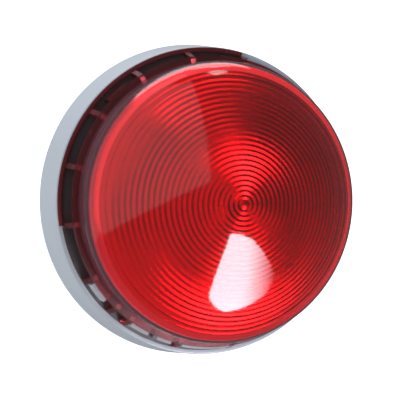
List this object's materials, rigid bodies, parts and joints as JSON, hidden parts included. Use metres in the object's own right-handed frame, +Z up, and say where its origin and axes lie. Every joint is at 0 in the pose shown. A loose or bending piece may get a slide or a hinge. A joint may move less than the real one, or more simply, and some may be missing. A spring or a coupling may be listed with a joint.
{
  "type": "wall sounder beacon",
  "caption": "Round wall-mounted alarm sounder with strobe: white base, slotted red skirt over a black sounder, and a domed red lens with moulded rings.",
  "frame": {"origin": "centre of the base's back face, on the wall", "axes": "-Y out of the wall along the part's axis, +Z up, +X to the right as seen from the front"},
  "size_m": [0.104, 0.0539, 0.104],
  "materials": {
    "white_shell": "satin moulded ABS with a fine grain",
    "seal_rubber": "matt foamed rubber",
    "terminal_plastic": "glass-filled nylon",
    "plated_steel": "bright zinc plate",
    "terminal_brass": "tumbled brass",
    "gilt_contact": "flash-gilt spring bronze",
    "black_shell": "fine-textured black ABS",
    "red_clear": "clear red polycarbonate, moulded rings inside",
    "board_laminate": "solder-masked glass laminate",
    "solder": "bright solder",
    "piezo_ceramic": "silvered ceramic disc",
    "piezo_brass": "rolled brass disc",
    "grey_nylon": "dark grey nylon",
    "capacitor_sleeve": "shrink sleeve",
    "copper_winding": "enamelled copper wire",
    "yellow_tape": "polyester tape",
    "chip_epoxy": "moulded epoxy",
    "wire_sleeve": "PVC insulation",
    "mirror_plastic": "vacuum-metallised plastic",
    "tube_glass": "clear glass",
    "silicone": "white silicone",
    "switch_red": "moulded thermoplastic",
    "lever_white": "moulded nylon",
    "control_blue": "moulded nylon"
  },
  "bodies": {
    "base": {"mounting_base": "white_shell", "seal_ring": "seal_rubber", "terminal_block": "terminal_plastic", "terminal_screws": "plated_steel", "terminal_cages": "terminal_brass", "contact_springs": "gilt_contact"},
    "head": {"sounder_body": "black_shell", "slot_baffles": "white_shell", "slotted_skirt": "red_clear", "lens": "red_clear", "cover_screws": "plated_steel", "main_board": "board_laminate", "board_screws": "plated_steel", "board_pads": "solder", "contact_tracks": "gilt_contact", "piezo_plate": "piezo_brass", "piezo_ceramic": "piezo_ceramic", "piezo_retainer": "grey_nylon", "horn_deflector": "black_shell", "flash_capacitor": "capacitor_sleeve", "inverter_coil": "copper_winding", "trigger_transformer": "yellow_tape", "power_transistor": "chip_epoxy", "controller_chip": "chip_epoxy", "wire_links": "wire_sleeve", "reflector": "mirror_plastic", "flash_tube": "tube_glass", "tube_caps": "plated_steel", "tube_leads": "plated_steel", "tube_stand": "silicone", "switch_body": "switch_red", "volume_body": "control_blue"},
    "volume_control": {"volume_rotor": "lever_white"},
    "tone_lever_1": {"lever_1": "lever_white"},
    "tone_lever_2": {"lever_2": "lever_white"},
    "tone_lever_3": {"lever_3": "lever_white"},
    "tone_lever_4": {"lever_4": "lever_white"},
    "tone_lever_5": {"lever_5": "lever_white"},
    "tone_lever_6": {"lever_6": "lever_white"}
  },
  "joints": [
    {"name": "head_twist", "type": "hinge", "parent": "base", "child": "head", "pos_m": [0, -0.0166, 0], "axis": [0, -1, 0], "range_deg": [0, 15]},
    {"name": "volume_turn", "type": "hinge", "parent": "head", "child": "volume_control", "pos_m": [0.018, -0.0126, -0.0245], "axis": [0, 1, 0], "range_deg": [-135, 135]},
    {"name": "tone_slide_1", "type": "slide", "parent": "head", "child": "tone_lever_1", "axis": [0, 0, 1], "range_m": [0, 0.0012]},
    {"name": "tone_slide_2", "type": "slide", "parent": "head", "child": "tone_lever_2", "axis": [0, 0, 1], "range_m": [0, 0.0012]},
    {"name": "tone_slide_3", "type": "slide", "parent": "head", "child": "tone_lever_3", "axis": [0, 0, 1], "range_m": [0, 0.0012]},
    {"name": "tone_slide_4", "type": "slide", "parent": "head", "child": "tone_lever_4", "axis": [0, 0, 1], "range_m": [0, 0.0012]},
    {"name": "tone_slide_5", "type": "slide", "parent": "head", "child": "tone_lever_5", "axis": [0, 0, 1], "range_m": [0, 0.0012]},
    {"name": "tone_slide_6", "type": "slide", "parent": "head", "child": "tone_lever_6", "axis": [0, 0, 1], "range_m": [0, 0.0012]}
  ]
}
